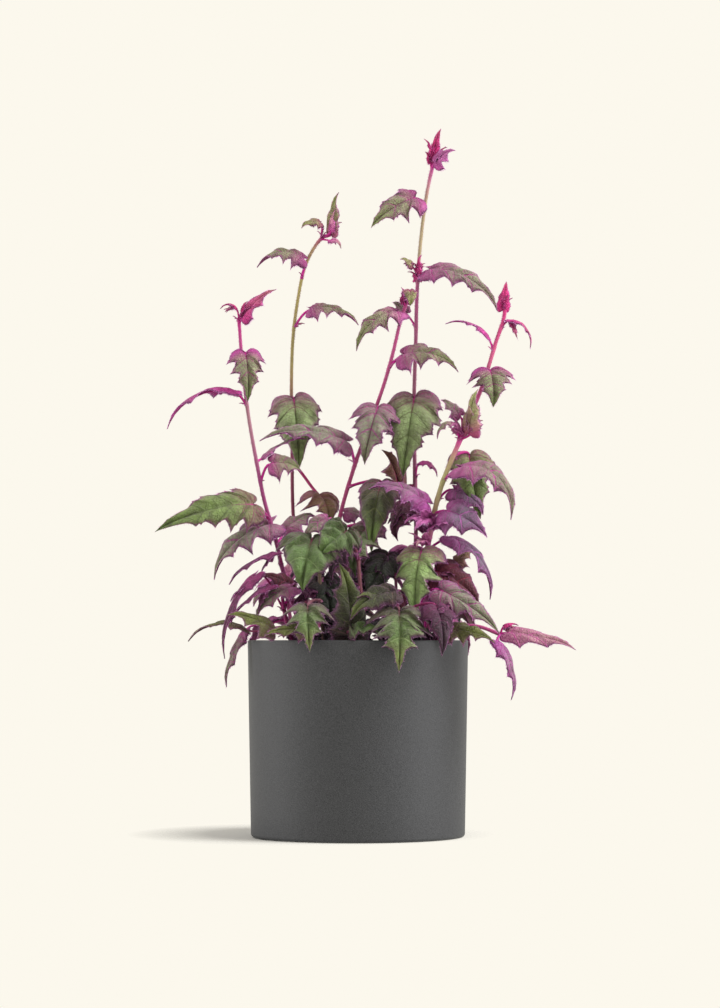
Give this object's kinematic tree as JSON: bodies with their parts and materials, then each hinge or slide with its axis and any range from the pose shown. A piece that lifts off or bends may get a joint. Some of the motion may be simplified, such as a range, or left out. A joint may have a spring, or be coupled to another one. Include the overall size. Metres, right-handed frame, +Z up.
{
  "type": "potted purple passion plant",
  "caption": "Leafy foliage plant with tall velvety purple stems and toothed leaves in a plain grey cylindrical pot of potting mix, free-standing on a flat base.",
  "frame": {"origin": "centre of the pot's flat base, on the surface that it stands on", "axes": "+Z up along the pot's axis, +X to the right seen from the front, +Y towards the back"},
  "size_m": [0.3, 0.1903, 0.5171],
  "materials": {
    "pot_shell": "matte",
    "potting_mix": "matte",
    "foliage": "matte"
  },
  "bodies": {
    "root": {"pot": "pot_shell", "soil": "potting_mix", "stem_left": "foliage", "stem_second": "foliage", "stem_middle": "foliage", "stem_tallest": "foliage", "stem_right": "foliage", "shoot_front_left": "foliage", "shoot_front": "foliage", "shoot_centre": "foliage", "shoot_front_right": "foliage", "shoot_right": "foliage", "shoot_sprawling": "foliage", "shoot_back_left": "foliage", "shoot_back": "foliage", "shoot_back_right": "foliage"}
  },
  "joints": []
}
